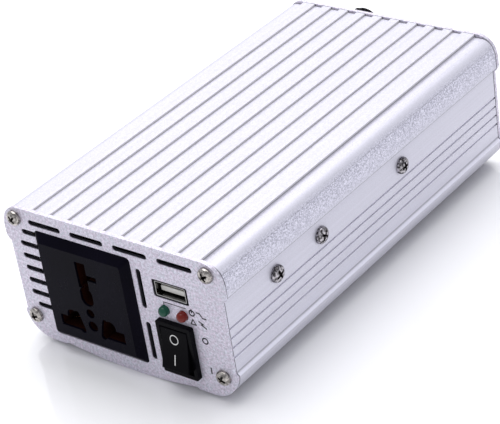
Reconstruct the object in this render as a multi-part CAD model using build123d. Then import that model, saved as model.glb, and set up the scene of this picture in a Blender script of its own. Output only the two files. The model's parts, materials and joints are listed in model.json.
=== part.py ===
from build123d import *
import math
import os

# Power inverter in a ribbed aluminium case, in millimetres.
# X runs across the front panel, Y from the front to the rear, Z up.
# Inside the functions Y = 0 is the front plate's outer face; the whole model is centred on Y last.

# ---- case ----------------------------------------------------------------------------------
CASE_HEIGHT = 56.0
CASE_LENGTH = 170.0            # the two extrusions
PLATE = 1.5                    # thickness of the end plates
SHOULDER_HALF = 48.4           # half width over the cover's skirt
SIDE_HALF = 46.7               # half width over the tray's flat sides
SKIRT_BOTTOM = 42.9            # lower edge of the cover's skirt
RIB_PITCH = 8.08
RIB_DEPTH = 0.9
GROOVE_WIDTH = 4.2
GROOVES = 9
OUTER_RIB_EDGE = 39.9
SHOULDER_DROP = 1.3            # shoulder below the rib tops
COVER_INSIDE = 53.2            # underside of the cover's top wall
SIDE_GROOVE_HEIGHTS = (18.75, 22.6, 26.4, 30.2)
SIDE_GROOVE = 0.8              # width and depth of each narrow side groove
WALL = 2.0

# ---- screws --------------------------------------------------------------------------------
PLATE_SCREW_X = 42.5
PLATE_SCREW_Z = (10.85, 51.6)
SIDE_SCREW_Y = (29.2, 55.2, 106.0)
SIDE_SCREW_Z = 35.7
SCREW_SHANK_R = 1.45
SCREW_HOLE_R = 1.5
BOSS_R = 3.1

# ---- front panel ---------------------------------------------------------------------------
SLOT = 2.1                     # width of every vent slot
TOP_SLOT_LENGTH = 14.9
TOP_SLOT_PITCH = 19.25
TOP_SLOT_Z = 51.25
SIDE_SLOT_PITCH = 5.1
SIDE_SLOT_Z = 46.6             # the highest of the seven left slots
SIDE_SLOT_END = -33.4
UPRIGHT_SLOT_X = 12.0
UPRIGHT_SLOTS = ((29.6, 45.4), (8.4, 23.9))

SOCKET_X, SOCKET_Z = -12.6, 27.1
SOCKET_BASE = 43.2             # square flange against the plate
SOCKET_FACE = 37.0             # square raised face
SOCKET_RISE = 2.6
SOCKET_BODY = 37.6             # square body behind the plate
SOCKET_DEPTH = 14.0
EARTH_Z = SOCKET_Z + 10.2
PIN_Z = EARTH_Z - 22.2         # live and neutral, 22.2 below the earth pin
PIN_OFFSET = 11.1              # live and neutral, each side of the middle
JAW_GAP = 4.4                  # free space between the two leaves of a contact
JAW_LEAF = 0.6

SWITCH_X, SWITCH_Z = 24.9, 17.3
SWITCH_BEZEL = (15.0, 21.0)
SWITCH_BODY = (13.2, 18.9)
SWITCH_OPENING = (11.95, 17.8)
SWITCH_RIM = 2.0
SWITCH_DEPTH = 15.0
ROCKER_WIDTH = 11.3
ROCKER_HALF = 7.75
ROCKER_PIVOT_Y = 1.6
ROCKER_TILT = 10.0
ROCKER_PIN_R = 1.4
RUNNING_GAP = 0.05

USB_X, USB_Z = 24.95, 39.7
USB_CUTOUT = (15.0, 7.0)
USB_SHELL = (13.1, 5.7)
USB_SHELL_DEPTH = 13.5
USB_SHEET = 0.3

LED_X = (21.3, 29.1)           # green, red
LED_Z = 31.7
LED_R = 1.9

# ---- rear panel ----------------------------------------------------------------------------
REAR = PLATE + CASE_LENGTH     # inner face of the rear plate
BACK = REAR + PLATE            # outer face of the rear plate
FAN_X, FAN_Z = 12.0, 28.0
FAN_SIZE = 45.0
FAN_DEPTH = 10.0
FAN_HOLES = 37.0
FAN_BORE_R = 21.5
POST_X = -28.0
POST_Z = {"negative": 37.0, "positive": 17.4}
POST_BASE_R = 8.8
POST_BASE = 5.0
POST_CAP_R = 8.0
POST_CAP_END = 195.2           # outer end of a screwed-down cap
POST_WASHER = 1.4
THREAD_R = 3.0
THREAD_PITCH = 1.0
THREAD_DEPTH = 0.35

# ---- electronics ---------------------------------------------------------------------------
BOARD = (15.0, 16.6)           # lower and upper face of the circuit board
BOARD_HALF = 44.3
BOARD_FRONT, BOARD_REAR = 24.0, 148.0


# ---- helpers -------------------------------------------------------------------------------
def prism_y(outline, start, end):
    """Extrude an outline drawn in X and Z between two distances from the front."""
    return Pos(0, start, 0) * extrude(Plane.XZ * outline, end - start, dir=(0, 1, 0))


def prism_x(outline, start, end):
    """Extrude an outline drawn in Y and Z between two X positions."""
    return Pos(start, 0, 0) * extrude(Plane.YZ * outline, end - start, dir=(1, 0, 0))


def rod_x(radius, start, end, y, z):
    return prism_x(Pos(y, z) * Circle(radius), start, end)


def rod_y(radius, start, end, x, z):
    return prism_y(Pos(x, z) * Circle(radius), start, end)


def rod_z(radius, start, end, x, y):
    return Pos(0, 0, start) * extrude(Pos(x, y) * Circle(radius), end - start)


def block(x, y, z):
    """A box given by its low and high X, Y and Z."""
    size = [high - low for low, high in (x, y, z)]
    middle = [(high + low) / 2 for low, high in (x, y, z)]
    return Pos(*middle) * Box(*size)


def both_sides(shape):
    return shape + mirror(shape, Plane.YZ)


def closed(points):
    return make_face(Polyline(*points, close=True))


def group(shapes):
    """Several separate solids that share one node."""
    solids = []
    for shape in shapes:
        solids += shape.solids()
    return Compound(children=solids)


def slot_face(x, z, length, width, angle=0):
    return Pos(x, z) * Rot(0, 0, angle) * SlotOverall(length, width)


# ---- case ----------------------------------------------------------------------------------
def rib_spans():
    """Left and right edge of each rib on the cover, from the left."""
    edges = [-OUTER_RIB_EDGE]
    for index in range(GROOVES):
        middle = RIB_PITCH * (index - (GROOVES - 1) / 2)
        edges += [middle - GROOVE_WIDTH / 2, middle + GROOVE_WIDTH / 2]
    edges.append(OUTER_RIB_EDGE)
    return list(zip(edges[0::2], edges[1::2]))


def cover_outline():
    """The cover's outer outline without its ribs, drawn as a half and mirrored."""
    floor = CASE_HEIGHT - RIB_DEPTH
    shoulder = CASE_HEIGHT - SHOULDER_DROP
    edge = Polyline((0, SKIRT_BOTTOM), (0, floor), (OUTER_RIB_EDGE, floor),
                    (OUTER_RIB_EDGE, shoulder), (42.8, shoulder))
    curve = ThreePointArc((42.8, shoulder), (45.7, 53.8), (47.4, 51.9))
    flank = Polyline((47.4, 51.9), (SHOULDER_HALF, 48.9), (SHOULDER_HALF, SKIRT_BOTTOM),
                     (0, SKIRT_BOTTOM))
    return both_sides(make_face([edge, curve, flank]))


def top_cover():
    outline = cover_outline()
    for left, right in rib_spans():
        rib = Pos((left + right) / 2, CASE_HEIGHT - RIB_DEPTH) * Rectangle(right - left, 2 * RIB_DEPTH)
        outline += rib
    skirt_inside = SIDE_HALF + 0.15
    outline -= closed([(-skirt_inside, 0), (skirt_inside, 0), (skirt_inside, 49.2), (43.6, COVER_INSIDE),
                       (-43.6, COVER_INSIDE), (-skirt_inside, 49.2)])
    for side in (-1, 1):
        outline += Pos(side * PLATE_SCREW_X, PLATE_SCREW_Z[1]) * Circle(BOSS_R)
        outline -= Pos(side * PLATE_SCREW_X, PLATE_SCREW_Z[1]) * Circle(SCREW_HOLE_R)
    return prism_y(outline, PLATE, REAR)


def belly(inset):
    """Underside from the lobe's widest point to the middle, at a distance inside the outer face."""
    bend = 0.7 * inset
    low = 1.7 + inset
    lobe = ThreePointArc((47.7 - inset, 10.9), (44.8 - bend, 5.1 + bend), (37.2, low))
    step = Polyline((37.2, low), (30.4, low), (29.4, 2.3 + inset))
    crown = ThreePointArc((29.4, 2.3 + inset), (15.2, 0.62 + inset), (0, inset))
    return [lobe, step, crown]


def tray_section(inset, top):
    """The tray's section at a distance inside its outer face, filled up to a height."""
    side = SIDE_HALF - inset
    rim = Polyline((0, top), (side, top), (side, 12.6), (47.7 - inset, 11.8), (47.7 - inset, 10.9))
    return both_sides(make_face([rim] + belly(inset) + [Line((0, inset), (0, top))]))


def base_tray():
    outline = tray_section(0, 48.0) - tray_section(WALL, 60.0)
    for side in (-1, 1):
        outline += Pos(side * PLATE_SCREW_X, PLATE_SCREW_Z[0]) * Circle(BOSS_R)
        outline -= Pos(side * PLATE_SCREW_X, PLATE_SCREW_Z[0]) * Circle(SCREW_HOLE_R)
        for low in (BOARD[0] - 1.1, BOARD[1] + 0.1):
            outline += Pos(side * 44.2, low + 0.5) * Rectangle(1.6, 1.0)
        for height in SIDE_GROOVE_HEIGHTS:
            outline -= Pos(side * SIDE_HALF, height) * Rectangle(2 * SIDE_GROOVE, SIDE_GROOVE)
    tray = prism_y(outline, PLATE, REAR)
    for y in SIDE_SCREW_Y:
        tray -= rod_x(SCREW_HOLE_R, -SIDE_HALF - 1, SIDE_HALF + 1, y, SIDE_SCREW_Z)
    return tray


def plate_outline():
    """Outline shared by the front and the rear plate."""
    top = Line((0, CASE_HEIGHT), (40.0, CASE_HEIGHT))
    shoulder = ThreePointArc((40.0, CASE_HEIGHT), (45.8, 54.0), (48.3, 48.9))
    flank = Polyline((48.3, 48.9), (48.6, 47.6), (48.6, 43.8))
    waist = ThreePointArc((48.6, 43.8), (48.0, 42.2), (46.8, 41.1))
    side = Polyline((46.8, 41.1), (46.8, 12.6), (47.7, 11.8), (47.7, 10.9))
    middle = Line((0, 0), (0, CASE_HEIGHT))
    return both_sides(make_face([top, shoulder, flank, waist, side] + belly(0) + [middle]))


def plate_screw_places():
    return [(side * PLATE_SCREW_X, z) for side in (-1, 1) for z in PLATE_SCREW_Z]


def front_vents():
    """Vent slots of the front plate as flat outlines."""
    slots = [slot_face((index - 1.5) * TOP_SLOT_PITCH, TOP_SLOT_Z, TOP_SLOT_LENGTH, SLOT)
             for index in range(4)]
    for index in range(7):
        left = -40.5 if index in (0, 6) else -42.3
        z = SIDE_SLOT_Z - index * SIDE_SLOT_PITCH
        slots.append(slot_face((left + SIDE_SLOT_END) / 2, z, SIDE_SLOT_END - left, SLOT))
    for low, high in UPRIGHT_SLOTS:
        slots.append(slot_face(UPRIGHT_SLOT_X, (low + high) / 2, high - low, SLOT, 90))
    return slots


def front_plate():
    outline = plate_outline()
    for slot in front_vents():
        outline -= slot
    outline -= Pos(SOCKET_X, SOCKET_Z) * Rectangle(SOCKET_BODY + 0.4, SOCKET_BODY + 0.4)
    outline -= Pos(SWITCH_X, SWITCH_Z) * Rectangle(SWITCH_BODY[0] + 0.2, SWITCH_BODY[1] + 0.2)
    outline -= Pos(USB_X, USB_Z) * RectangleRounded(*USB_CUTOUT, 0.7)
    for x in LED_X:
        outline -= Pos(x, LED_Z) * Circle(LED_R + 0.1)
    for x, z in plate_screw_places():
        outline -= Pos(x, z) * Circle(SCREW_HOLE_R + 0.2)
    return prism_y(outline, 0, PLATE)


def fan_vents():
    """Curved slots in front of the fan: three rings cut by four spokes."""
    vents = Sketch()
    for inner, outer in ((5.0, 8.6), (11.0, 14.6), (17.0, 20.6)):
        vents += Circle(outer) - Circle(inner)
    for angle in (45, 135):
        vents -= Rot(0, 0, angle) * Rectangle(60, 2.6)
    return Pos(FAN_X, FAN_Z) * vents


def fan_corners():
    reach = FAN_HOLES / 2
    return [(FAN_X + i * reach, FAN_Z + j * reach) for i in (-1, 1) for j in (-1, 1)]


def rear_plate():
    outline = plate_outline() - fan_vents()
    for x, z in plate_screw_places() + fan_corners():
        outline -= Pos(x, z) * Circle(SCREW_HOLE_R + 0.2)
    for z in POST_Z.values():
        outline -= Pos(POST_X, z) * Circle(5.1)
    return prism_y(outline, REAR, BACK)


# ---- screws --------------------------------------------------------------------------------
def pan_screw(head_r, head, shank):
    """Cross-recess pan head screw along +Z, its head's underside at Z = 0 and its shank below."""
    crown = Pos(0, 0, -0.7 * head_r) * Sphere(1.45 * head_r)
    body = extrude(Circle(head_r), head) & crown
    cross = Rectangle(1.15 * head_r, 0.32 * head_r) + Rectangle(0.32 * head_r, 1.15 * head_r)
    recess = Pos(0, 0, 0.4 * head) * extrude(cross, head)
    return body - recess + extrude(Circle(SCREW_SHANK_R), -shank)


def front_screws():
    turn = Rot(90, 0, 0) * Rot(0, 0, 20)
    return group(Pos(x, 0, z) * turn * pan_screw(2.9, 2.1, 9) for x, z in plate_screw_places())


def rear_screws():
    turn = Rot(-90, 0, 0)
    return group(Pos(x, BACK, z) * turn * pan_screw(2.9, 2.1, 9) for x, z in plate_screw_places())


def side_screws():
    screws = []
    for side in (-1, 1):
        turn = Rot(0, side * 90, 0) * Rot(0, 0, 25)
        for y in SIDE_SCREW_Y:
            screws.append(Pos(side * SIDE_HALF, y, SIDE_SCREW_Z) * turn * pan_screw(3.2, 2.1, 8))
    return group(screws)


# ---- mains socket --------------------------------------------------------------------------
def pin_opening(side):
    """Combined opening for a flat, a round and a slanted pin, on one side of the socket."""
    flat = Pos(side * 9.8, PIN_Z) * Rectangle(9.8, 4.6)
    round_pin = Pos(side * 8.6, PIN_Z + 3.0) * Circle(2.55)
    slanted = slot_face(side * 5.6, PIN_Z + 1.3, 9.0, 2.4, 90 - side * 15)
    return flat + round_pin + slanted


def earth_opening():
    flat = Pos(0, EARTH_Z) * Rectangle(4.6, 10.4)
    branch = Pos(3.3, EARTH_Z - 0.4) * Rectangle(6.4, 2.2)
    return flat + branch


def socket_body():
    base = RectangleRounded(SOCKET_BASE, SOCKET_BASE, 1.6)
    face = Pos(0, 0, SOCKET_RISE) * RectangleRounded(SOCKET_FACE, SOCKET_FACE, 1.0)
    flange = Pos(SOCKET_X, 0, SOCKET_Z) * Rot(90, 0, 0) * loft(Sketch() + [base, face])
    outline = Pos(SOCKET_X, SOCKET_Z) * Rectangle(SOCKET_BODY, SOCKET_BODY)
    body = flange + prism_y(outline, -0.5, SOCKET_DEPTH)
    for side in (-1, 1):
        body -= prism_y(Pos(SOCKET_X, 0) * pin_opening(side), -5, SOCKET_DEPTH + 1)
        pocket = Pos(SOCKET_X + side * 10.2, PIN_Z + 0.9) * Rectangle(10.6, 8.4)
        body -= prism_y(pocket, 2, SOCKET_DEPTH + 1)
    body -= prism_y(Pos(SOCKET_X, 0) * earth_opening(), -5, SOCKET_DEPTH + 1)
    body -= prism_y(Pos(SOCKET_X, EARTH_Z) * Rectangle(8.4, 10.4), 2, SOCKET_DEPTH + 1)
    body -= prism_y(slot_face(SOCKET_X + 0.3, SOCKET_Z + 1.5, 7.8, 5.6, 90), -5, 6)
    body -= rod_y(1.8, -5, 0.6, SOCKET_X + 0.3, SOCKET_Z - 5.5)
    body -= rod_y(2.1, -5, 0.6, SOCKET_X + 0.3, SOCKET_Z - 10.9)
    return body


def socket_back():
    outline = Pos(SOCKET_X, SOCKET_Z) * Rectangle(SOCKET_BODY, SOCKET_BODY)
    cover = prism_y(outline, SOCKET_DEPTH, SOCKET_DEPTH + 2.0)
    for x, z in contact_places().values():
        cover -= prism_y(Pos(x, z) * Rectangle(5.2, 1.2), SOCKET_DEPTH - 1, SOCKET_DEPTH + 3)
    return cover


def contact_places():
    return {"live": (SOCKET_X + PIN_OFFSET, PIN_Z), "neutral": (SOCKET_X - PIN_OFFSET, PIN_Z),
            "earth": (SOCKET_X, EARTH_Z)}


def socket_contact(name):
    """Brass jaw with two leaves, a bridge at the back and a flat tab for the wire."""
    x, z = contact_places()[name]
    upright = name == "earth"
    width = 6.0
    reach = JAW_GAP / 2 + JAW_LEAF
    jaw = Rectangle(width, 2 * reach) - Rectangle(width + 1, JAW_GAP)
    back = Rectangle(width, 2 * reach)
    if upright:
        jaw, back = Rot(0, 0, 90) * jaw, Rot(0, 0, 90) * back
    place = Pos(x, z)
    contact = prism_y(place * jaw, 3.5, SOCKET_DEPTH - 0.9)
    contact += prism_y(place * back, SOCKET_DEPTH - 0.9, SOCKET_DEPTH - 0.1)
    contact += prism_y(place * Rectangle(4.8, 0.8), SOCKET_DEPTH - 0.9, SOCKET_DEPTH + 8)
    return contact


# ---- rocker switch -------------------------------------------------------------------------
def switch_housing():
    place = Pos(SWITCH_X, SWITCH_Z)
    bezel = prism_y(place * RectangleRounded(*SWITCH_BEZEL, 0.8), -SWITCH_RIM, 0)
    body = prism_y(place * Rectangle(*SWITCH_BODY), -0.5, SWITCH_DEPTH)
    cavity = prism_y(place * Rectangle(*SWITCH_OPENING), -5, 11)
    housing = bezel + body - cavity
    half = SWITCH_BODY[0] / 2 + 1
    bore = ROCKER_PIN_R + RUNNING_GAP
    return housing - rod_x(bore, SWITCH_X - half, SWITCH_X + half, ROCKER_PIVOT_Y, SWITCH_Z)


def rocker():
    """Rocker about its pivot, tilted to the off position with its lower end standing out."""
    upper = ThreePointArc((-5.05, ROCKER_HALF), (-4.65, ROCKER_HALF / 2), (-4.5, 0))
    lower = ThreePointArc((-4.5, 0), (-4.65, -ROCKER_HALF / 2), (-5.05, -ROCKER_HALF))
    back = Polyline((-5.05, -ROCKER_HALF), (-0.6, 0.2 - ROCKER_HALF), (2.2, -4.6), (2.2, 4.6),
                    (-0.6, ROCKER_HALF - 0.2), (-5.05, ROCKER_HALF))
    section = make_face([upper, lower, back])
    lever = prism_x(section, -ROCKER_WIDTH / 2, ROCKER_WIDTH / 2)
    tip = SWITCH_BODY[0] / 2 - 0.05
    lever += rod_x(ROCKER_PIN_R, -tip, tip, 0, 0)
    return Pos(SWITCH_X, ROCKER_PIVOT_Y, SWITCH_Z) * Rot(-ROCKER_TILT, 0, 0) * lever


def switch_blades():
    blades = []
    width = (SWITCH_X - 2.4, SWITCH_X + 2.4)
    for z in (SWITCH_Z - 6, SWITCH_Z, SWITCH_Z + 6):
        blades.append(block(width, (SWITCH_DEPTH, SWITCH_DEPTH + 8), (z - 0.4, z + 0.4)))
    return group(blades)


# ---- USB port and lamps --------------------------------------------------------------------
def usb_shell():
    outer = Pos(USB_X, USB_Z) * RectangleRounded(*USB_SHELL, 0.5)
    width, height = (size - 2 * USB_SHEET for size in USB_SHELL)
    inner = Pos(USB_X, USB_Z) * RectangleRounded(width, height, 0.3)
    shell = prism_y(outer - inner, 0.2, USB_SHELL_DEPTH)
    return shell + prism_y(outer, USB_SHELL_DEPTH - 0.4, USB_SHELL_DEPTH)


def usb_tongue():
    low = USB_Z - USB_SHELL[1] / 2 + USB_SHEET
    tongue = block((USB_X - 5.55, USB_X + 5.55), (2.0, 10), (low + 0.85, low + 2.85))
    foot = block((USB_X - 6.1, USB_X + 6.1), (10, USB_SHELL_DEPTH - 0.4), (low + 0.1, low + 5.0))
    return tongue + foot


def usb_contacts():
    low = USB_Z - USB_SHELL[1] / 2 + USB_SHEET + 2.85
    strips = []
    for offset in (-3.5, -1.0, 1.0, 3.5):
        x = USB_X + offset
        strips.append(block((x - 0.5, x + 0.5), (2.2, 9.8), (low, low + 0.15)))
    return group(strips)


def front_board():
    return block((15.5, 34.0), (USB_SHELL_DEPTH, USB_SHELL_DEPTH + 1.6), (29.5, 46.5))


def lamp(x):
    """Round lamp: flange and barrel behind the plate, domed tip in front."""
    barrel = rod_y(LED_R, -0.9, PLATE + 3.0, x, LED_Z)
    dome = Pos(x, -0.9, LED_Z) * Sphere(LED_R)
    flange = rod_y(LED_R + 0.5, PLATE + 0.1, PLATE + 1.1, x, LED_Z)
    return barrel + dome + flange


def lamp_leads():
    leads = []
    for x in LED_X:
        for side in (-1, 1):
            leads.append(rod_y(0.25, PLATE + 3.0, USB_SHELL_DEPTH, x + side * 1.27, LED_Z))
    return group(leads)


# ---- fan -----------------------------------------------------------------------------------
FAN_FRONT = REAR - FAN_DEPTH


def fan_frame():
    frame = Pos(FAN_X, FAN_Z) * (RectangleRounded(FAN_SIZE, FAN_SIZE, 3) - Circle(FAN_BORE_R))
    for x, z in fan_corners():
        frame -= Pos(x, z) * Circle(SCREW_HOLE_R)
    ring = prism_y(frame, FAN_FRONT, REAR)
    struts = Circle(9.0)
    for angle in (10, 130, 250):
        struts += Rot(0, 0, angle) * Pos(15.4, 0) * Rectangle(14, 2.4)
    hub = Pos(FAN_X, FAN_Z) * (struts - Circle(2.5))
    return ring + prism_y(hub, FAN_FRONT, FAN_FRONT + 1.6)


def fan_bearing():
    return prism_y(Pos(FAN_X, FAN_Z) * (Circle(2.5) - Circle(1.05)), FAN_FRONT, FAN_FRONT + 5)


def fan_rotor():
    """Cup-shaped hub on its shaft, with seven pitched blades."""
    start, end = FAN_FRONT + 2.0, REAR - 0.8
    cup = rod_y(9.4, start, end, 0, 0) - rod_y(8.2, start - 1, end - 1.4, 0, 0)
    shaft = rod_y(1.0, FAN_FRONT + 0.4, end, 0, 0)
    rotor = cup + shaft
    blade = Rot(38, 0, 0) * Pos(14.8, 0, 0) * Box(11.6, 9.2, 1.0)
    for index in range(7):
        rotor += Pos(0, (start + end) / 2, 0) * Rot(0, index * 360 / 7, 0) * blade
    return Pos(FAN_X, 0, FAN_Z) * rotor


def fan_screws():
    turn = Rot(-90, 0, 0)
    return group(Pos(x, BACK, z) * turn * pan_screw(2.9, 1.9, 11) for x, z in fan_corners())


# ---- binding posts -------------------------------------------------------------------------
WASHER_START = BACK + POST_BASE + 0.3
CAP_START = WASHER_START + POST_WASHER
STUD_START, STUD_END = 158.0, POST_CAP_END - 2.2


def post_base(pole):
    """Insulating collar outside the plate, with a neck through it."""
    z = POST_Z[pole]
    collar = rod_y(POST_BASE_R, BACK, BACK + POST_BASE, POST_X, z)
    rim = collar.edges().filter_by(GeomType.CIRCLE).sort_by(Axis.Y)[-1]
    collar = chamfer(rim, 0.8)
    neck = rod_y(5.0, REAR - 0.5, BACK, POST_X, z)
    return collar + neck - rod_y(THREAD_R, REAR - 1, BACK + POST_BASE + 1, POST_X, z)


def post_bushes():
    """Insulating rings on the inside of the rear plate."""
    rings = []
    for z in POST_Z.values():
        ring = Pos(POST_X, z) * (Circle(8.0) - Circle(5.1))
        rings.append(prism_y(ring, REAR - 2.0, REAR))
    return group(rings)


def post_stud(pole):
    """Plain shank inside, flange on the collar and a threaded end outside."""
    z = POST_Z[pole]
    thread_start = BACK + POST_BASE
    turns = int((STUD_END - thread_start) / THREAD_PITCH)
    points = [(0, STUD_START), (THREAD_R, STUD_START), (THREAD_R, thread_start)]
    for index in range(turns):
        y = thread_start + index * THREAD_PITCH
        points += [(THREAD_R, y + 0.3), (THREAD_R - THREAD_DEPTH, y + 0.55), (THREAD_R, y + 0.8)]
    points += [(THREAD_R, STUD_END - 0.5), (THREAD_R - 0.5, STUD_END), (0, STUD_END)]
    return Pos(POST_X, 0, z) * revolve(closed(points), Axis.Y)


def post_nuts():
    """Hexagon nuts that hold the studs, inside the case."""
    nuts = []
    for z in POST_Z.values():
        ring = Pos(POST_X, z) * (RegularPolygon(5.8, 6) - Circle(THREAD_R))
        nuts.append(prism_y(ring, REAR - 7.2, REAR - 2.2))
    return group(nuts)


def post_washer(pole):
    ring = Pos(POST_X, POST_Z[pole]) * (Circle(6.6) - Circle(THREAD_R + RUNNING_GAP))
    return prism_y(ring, WASHER_START, CAP_START - 0.3)


def post_cap(pole):
    """Fluted cap with a blind bore for the stud."""
    outline = Circle(POST_CAP_R)
    for index in range(18):
        outline -= Rot(0, 0, index * 20) * Pos(POST_CAP_R + 0.35, 0) * Circle(0.85)
    grip = prism_y(outline, CAP_START, POST_CAP_END - 1.2)
    end = prism_y(Circle(POST_CAP_R - 0.6), POST_CAP_END - 1.2, POST_CAP_END)
    bore = rod_y(THREAD_R + RUNNING_GAP, CAP_START - 1, STUD_END + 0.4, 0, 0)
    return Pos(POST_X, 0, POST_Z[pole]) * (grip + end - bore)


# ---- electronics ---------------------------------------------------------------------------
def circuit_board():
    board = block((-BOARD_HALF, BOARD_HALF), (BOARD_FRONT, BOARD_REAR), BOARD)
    return board - block((-35.5, 34.5), (BOARD_FRONT - 1, 34), (BOARD[0] - 1, BOARD[1] + 1))


TAB_OUTER = SIDE_HALF - WALL - 0.3
TAB_INNER = TAB_OUTER - 1.3


def transistor_places():
    return [(side, y) for side in (-1, 1) for y in SIDE_SCREW_Y]


def side_block(side, near, far, y, z):
    """A box between two distances from the middle, on the left or the right side."""
    low, high = sorted((side * near, side * far))
    return block((low, high), y, z)


def transistors():
    """Plastic bodies of the power transistors along both side walls."""
    height = (SIDE_SCREW_Z - 13, SIDE_SCREW_Z - 4)
    return group(side_block(side, TAB_INNER - 3.2, TAB_INNER, (y - 5, y + 5), height)
                 for side, y in transistor_places())


def transistor_tabs():
    tabs = []
    for side, y in transistor_places():
        tab = side_block(side, TAB_INNER, TAB_OUTER, (y - 5, y + 5), (SIDE_SCREW_Z - 13, SIDE_SCREW_Z + 2.7))
        tabs.append(tab - rod_x(SCREW_HOLE_R, -50, 50, y, SIDE_SCREW_Z))
    return group(tabs)


def transistor_legs():
    legs = []
    for side, y in transistor_places():
        for offset in (-2.54, 0, 2.54):
            along = (y + offset - 0.4, y + offset + 0.4)
            height = (BOARD[1], SIDE_SCREW_Z - 13)
            legs.append(side_block(side, TAB_INNER - 2.2, TAB_INNER - 1.7, along, height))
    return group(legs)


def insulator_pads():
    """Thin sheet between the transistors and the tray's wall."""
    pads = []
    for side, y in transistor_places():
        height = (SIDE_SCREW_Z - 13.5, SIDE_SCREW_Z + 3.4)
        pad = side_block(side, TAB_OUTER, SIDE_HALF - WALL, (y - 6, y + 6), height)
        pads.append(pad - rod_x(SCREW_HOLE_R, -50, 50, y, SIDE_SCREW_Z))
    return group(pads)


def transistor_nuts():
    nuts = []
    for side, y in transistor_places():
        near, far = sorted((side * (TAB_INNER - 2.4), side * TAB_INNER))
        ring = Pos(y, SIDE_SCREW_Z) * (RegularPolygon(3.1, 6) - Circle(SCREW_HOLE_R))
        nuts.append(prism_x(ring, near, far))
    return group(nuts)


TRANSFORMERS = ((-14.0, 62.0), (-14.0, 100.0))
CORE = (34.0, 13.0, 30.0)


def transformer_cores():
    """Ferrite cores: a frame with a middle leg, standing on the board."""
    low = BOARD[1] + 1.0
    cores = []
    for x, y in TRANSFORMERS:
        frame = Pos(x, y, low + CORE[2] / 2) * Box(*CORE)
        for side in (-1, 1):
            middle = x + side * 9.0
            frame -= block((middle - 4, middle + 4), (y - 20, y + 20), (low + 5.5, low + CORE[2] - 5.5))
        cores.append(frame)
    return group(cores)


def transformer_windings():
    """Taped coils round the middle legs, with bobbin feet on the board."""
    low = BOARD[1] + 1.0 + 5.7
    high = BOARD[1] + 1.0 + CORE[2] - 5.7
    coils = []
    for x, y in TRANSFORMERS:
        ring = RectangleRounded(25.4, 30, 7) - Rectangle(10.4, CORE[1] + 0.4)
        coils.append(Pos(x, y, low) * extrude(ring, high - low))
    return group(coils)


CAPACITORS = ((26.0, 136.0), (12.0, 136.0), (-2.0, 136.0))


def can(x, y, radius, height):
    """Electrolytic capacitor standing on the board, with a rolled groove near its foot."""
    body = rod_z(radius, BOARD[1], BOARD[1] + height, x, y)
    groove = Pos(x, y, BOARD[1] + 3) * Torus(radius + 0.3, 0.8)
    return body - groove


def input_capacitors():
    return group(can(x, y, 6.5, 21) for x, y in CAPACITORS)


def bus_capacitor():
    return can(20.0, 50.0, 9.0, 31)


def choke_core():
    ring = Circle(10.5) - Circle(6)
    return Pos(24, 112, BOARD[1] + 2) * extrude(ring, 9)


def choke_winding():
    """Wire wound on the ring core, as a coil split into turns by shallow gaps."""
    shell = Circle(12.2) - Circle(4.4)
    coil = Pos(24, 112, BOARD[1] + 0.4) * extrude(shell, 12.2)
    hollow = Pos(24, 112, BOARD[1] + 1.9) * extrude(Circle(10.6) - Circle(5.9), 9.2)
    turns = 18
    for index in range(turns):
        gap = Rot(0, 0, index * 360 / turns) * Pos(12.6, 0, 0) * Box(1.4, 0.5, 20)
        coil -= Pos(24, 112, BOARD[1] + 6) * gap
    return coil - hollow


FUSE_X = (-34.0, -27.0, -20.0, -13.0)
FUSE_Y = 126.0


def fuses():
    """Blade fuses in a row, standing on the board."""
    low = BOARD[1] + 4
    bodies = []
    for x in FUSE_X:
        body = block((x - 2.5, x + 2.5), (FUSE_Y - 9.5, FUSE_Y + 9.5), (low, low + 12))
        notch = block((x - 3, x + 3), (FUSE_Y - 4, FUSE_Y + 4), (low + 10, low + 13))
        bodies.append(body - notch)
    return group(bodies)


def fuse_blades():
    blades = []
    for x in FUSE_X:
        for y in (FUSE_Y - 6.5, FUSE_Y + 6.5):
            blades.append(block((x - 0.4, x + 0.4), (y - 2.6, y + 2.6), (BOARD[1], BOARD[1] + 4)))
    return group(blades)


CONTROL_X = 36.0


def control_board():
    return block((CONTROL_X, CONTROL_X + 1.6), (62, 98), (BOARD[1], BOARD[1] + 28))


def control_chips():
    chips = []
    for y in (70, 80, 90):
        chips.append(block((CONTROL_X - 2.4, CONTROL_X), (y - 3.2, y + 3.2), (BOARD[1] + 6, BOARD[1] + 22)))
    return group(chips)


def buzzer():
    low = BOARD[1]
    return rod_z(6.0, low, low + 9.5, 20.0, 76.0) - rod_z(1.2, low + 8, low + 10, 20.0, 76.0)


# ---- internal wires ------------------------------------------------------------------------
def wire(points, radius, bend):
    """Insulated wire along straight runs joined by tangent arcs."""
    path = FilletPolyline(*points, radius=bend)
    start = path @ 0
    profile = Plane(origin=start, z_dir=path % 0) * Circle(radius)
    return sweep(profile, path)


def post_lead(pole):
    """Heavy lead from a post's inner end down to the board."""
    z = POST_Z[pole]
    x, high = {"negative": (-36.0, 33.0), "positive": (-21.0, 27.0)}[pole]
    points = [(POST_X, STUD_START, z), (POST_X, STUD_START - 5, z), (x, 148.5, high),
              (x, 142.5, high), (x, 142.5, BOARD[1])]
    return wire(points, 2.2, 2.4)


def thin_lead(start, landing, high, radius):
    """Thin lead that leaves rearwards and comes down on the board from a height."""
    x, y, z = start
    end_x, end_y = landing
    points = [(x, y, z), (x, y + 4, z), (end_x, end_y - 5, high),
              (end_x, end_y, high), (end_x, end_y, BOARD[1])]
    return wire(points, radius, 1.6)


def socket_wires():
    wires = []
    for name, x in (("live", 4.0), ("neutral", -31.0)):
        tab_x, tab_z = contact_places()[name]
        wires.append(thin_lead((tab_x, SOCKET_DEPTH + 8, tab_z), (x, 39), 23, 0.9))
    return group(wires)


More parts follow.
